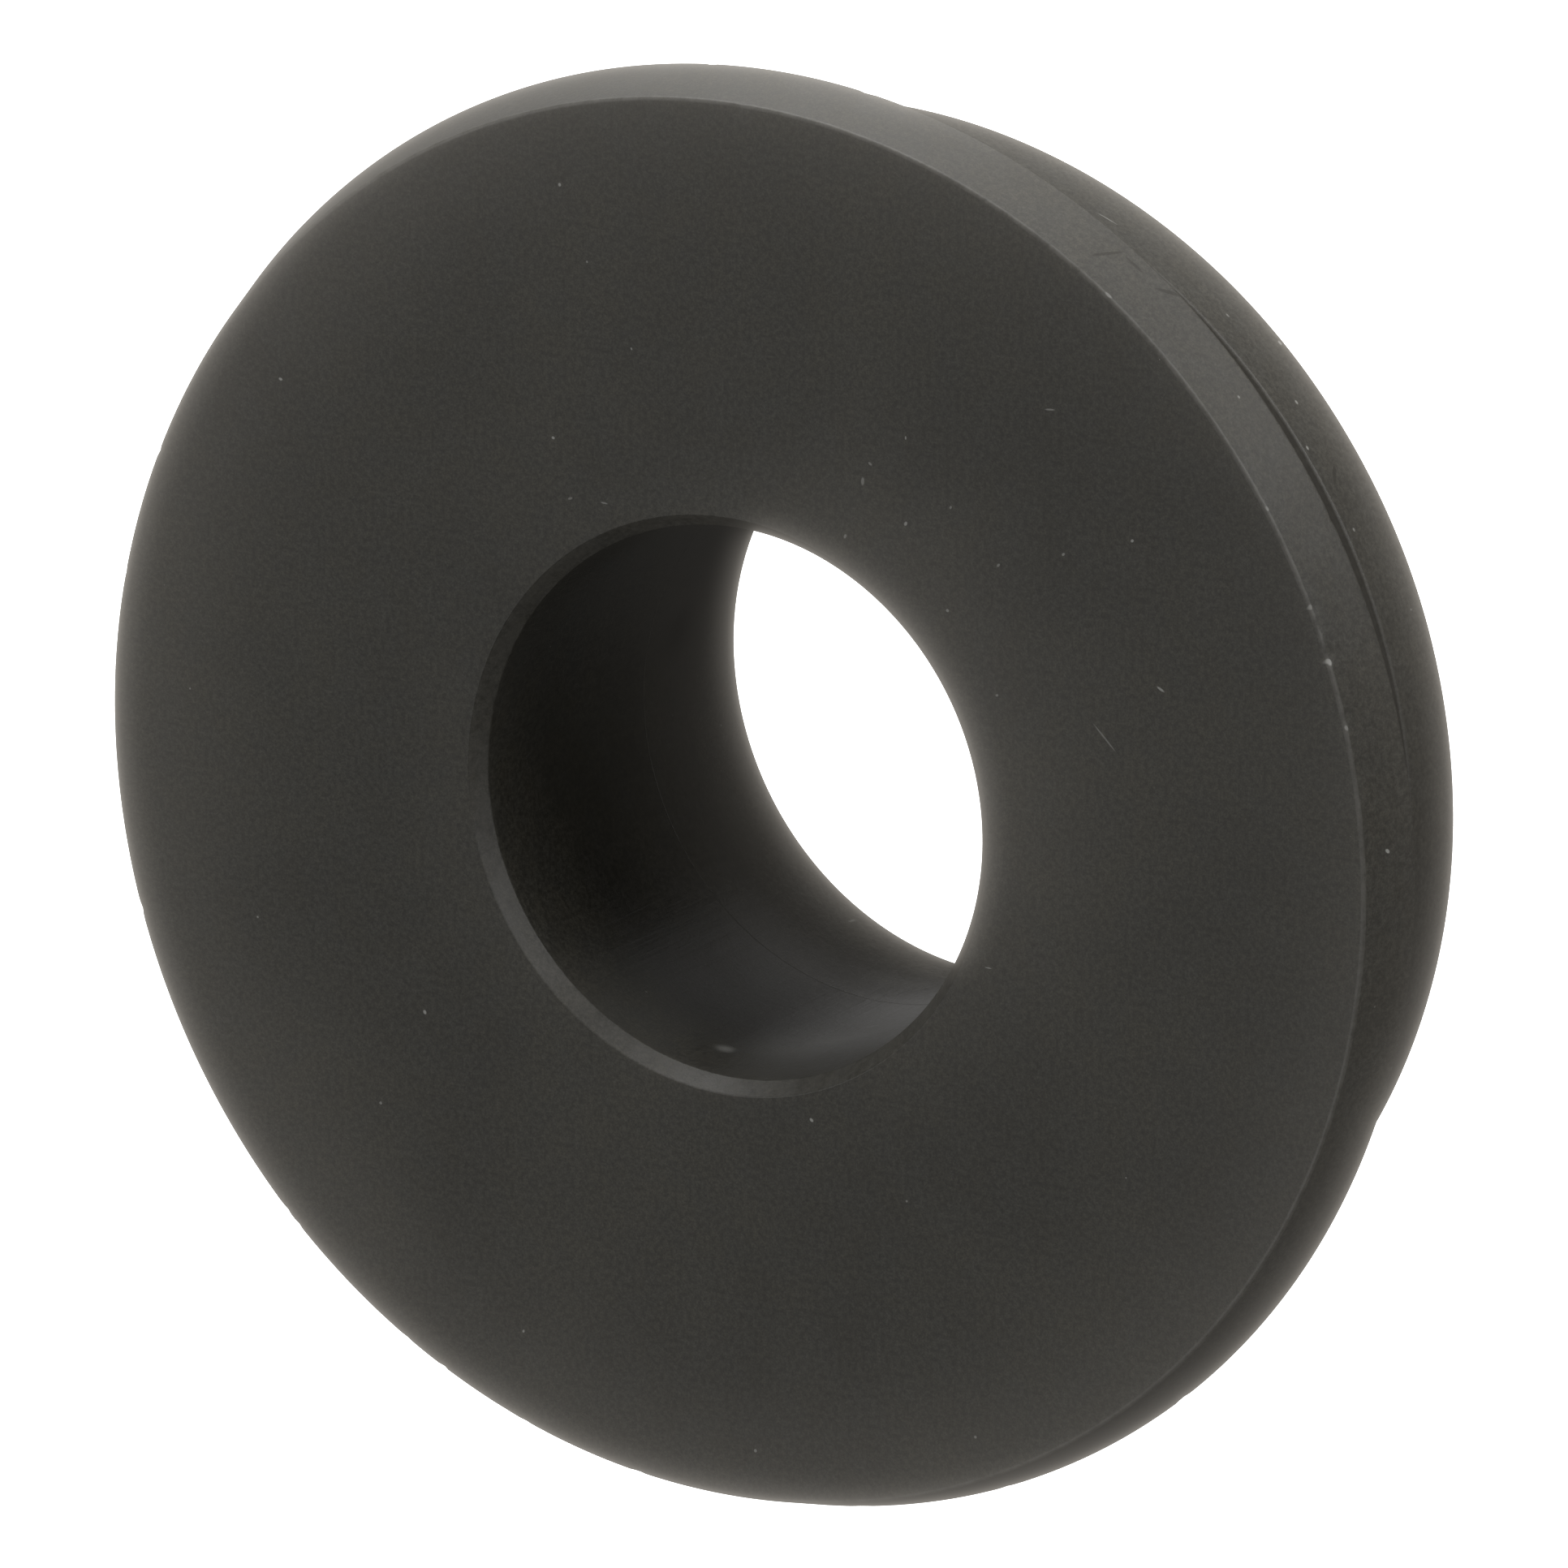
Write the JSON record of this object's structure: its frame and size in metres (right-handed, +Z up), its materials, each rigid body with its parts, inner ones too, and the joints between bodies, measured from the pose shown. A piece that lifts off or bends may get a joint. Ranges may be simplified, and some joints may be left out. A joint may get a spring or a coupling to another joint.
{
  "type": "fence insulator ring",
  "caption": "Black round insulator for a fence: a flanged ring with a wire groove round it, a shouldered hub behind and a smooth bore through the middle.",
  "frame": {"origin": "centre of the bore in the plane of the front face", "axes": "+Y along the bore from the front face to the back of the hub, +Z up, +X to the right seen from the front"},
  "size_m": [0.065, 0.0246, 0.065],
  "materials": {
    "front_plastic": "matte black moulded plastic with fine grain, dust specks and pale scuffed edges",
    "rear_plastic": "matte black moulded plastic with fine grain, slightly smoother in the bore"
  },
  "bodies": {
    "root": {"front_flange": "front_plastic", "rear_hub": "rear_plastic"}
  },
  "joints": []
}
